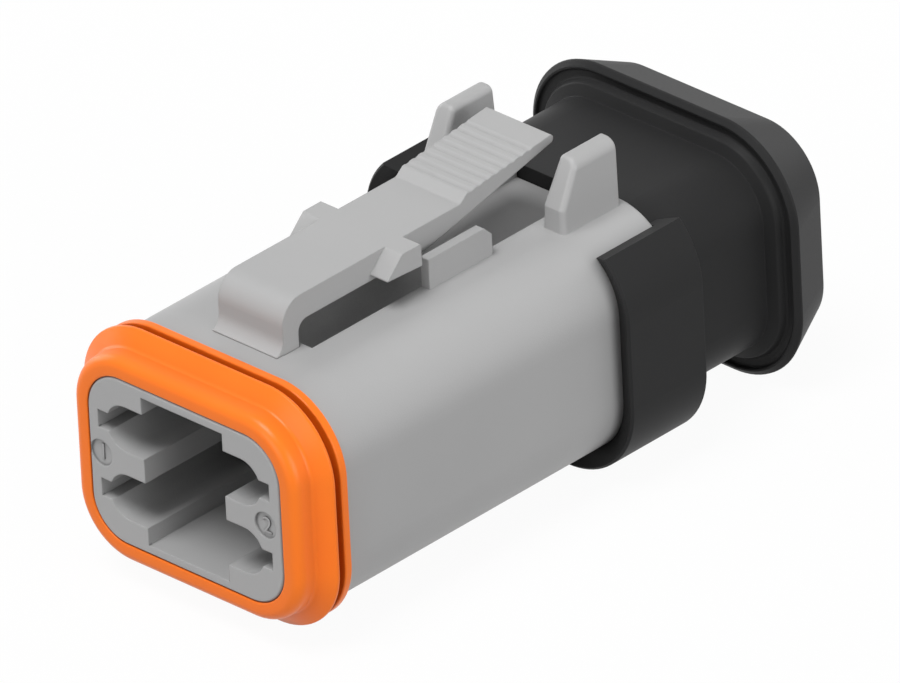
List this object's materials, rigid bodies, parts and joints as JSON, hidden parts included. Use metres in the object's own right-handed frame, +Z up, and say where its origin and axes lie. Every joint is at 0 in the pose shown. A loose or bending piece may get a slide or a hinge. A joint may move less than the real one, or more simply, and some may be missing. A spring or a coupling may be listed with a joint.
{
  "type": "sealed automotive connector plug",
  "caption": "Sealed rectangular wire-harness plug with press latch, silicone face seal, wire seal and black boot adapter with a flanged tube.",
  "frame": {"origin": "centre of the mating face, on the plug's own mating axis", "axes": "+Y from the mating face back to the boot flange, +Z up towards the press latch, +X to the right when looking at the back of the plug's face from in front of it"},
  "size_m": [0.027, 0.0565, 0.0258],
  "materials": {
    "housing_grey": "moulded satin",
    "seal_orange": "soft silicone sheen",
    "boot_black": "moulded satin"
  },
  "bodies": {
    "shell": {"plug_housing": "housing_grey", "interface_seal": "seal_orange", "wire_seal": "seal_orange", "boot_adapter": "boot_black"},
    "latch": {"latch_arm": "housing_grey"}
  },
  "joints": [
    {"name": "latch_press", "type": "hinge", "parent": "shell", "child": "latch", "pos_m": [0, 0.0085, 0.00916], "axis": [-1, 0, 0], "range_deg": [0, 7], "stiffness_Nm_per_rad": 1.5}
  ]
}
